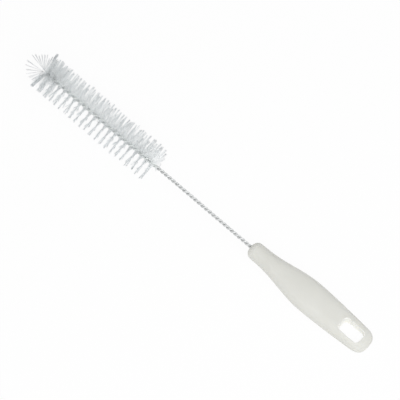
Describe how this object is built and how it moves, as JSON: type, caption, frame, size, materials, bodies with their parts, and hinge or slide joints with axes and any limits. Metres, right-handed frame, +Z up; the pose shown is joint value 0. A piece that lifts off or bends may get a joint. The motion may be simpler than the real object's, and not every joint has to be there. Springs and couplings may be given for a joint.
{
  "type": "bottle brush",
  "caption": "Bottle brush: a spiral of nylon bristles clamped in a twisted wire stem, with a moulded plastic handle that has a hanging hole.",
  "frame": {"origin": "middle of the brush's footprint, on the table that it lies on", "axes": "+X from the bristle tip to the handle, +Z up, with the broad faces of the handle facing up and down"},
  "size_m": [0.3375, 0.03, 0.0348],
  "materials": {
    "handle_plastic": "satin moulded off-white",
    "galvanised_wire": "galvanised, drawn",
    "nylon_filament": "translucent white"
  },
  "bodies": {
    "root": {"handle": "handle_plastic", "twisted_wire": "galvanised_wire", "bristles": "nylon_filament"}
  },
  "joints": []
}
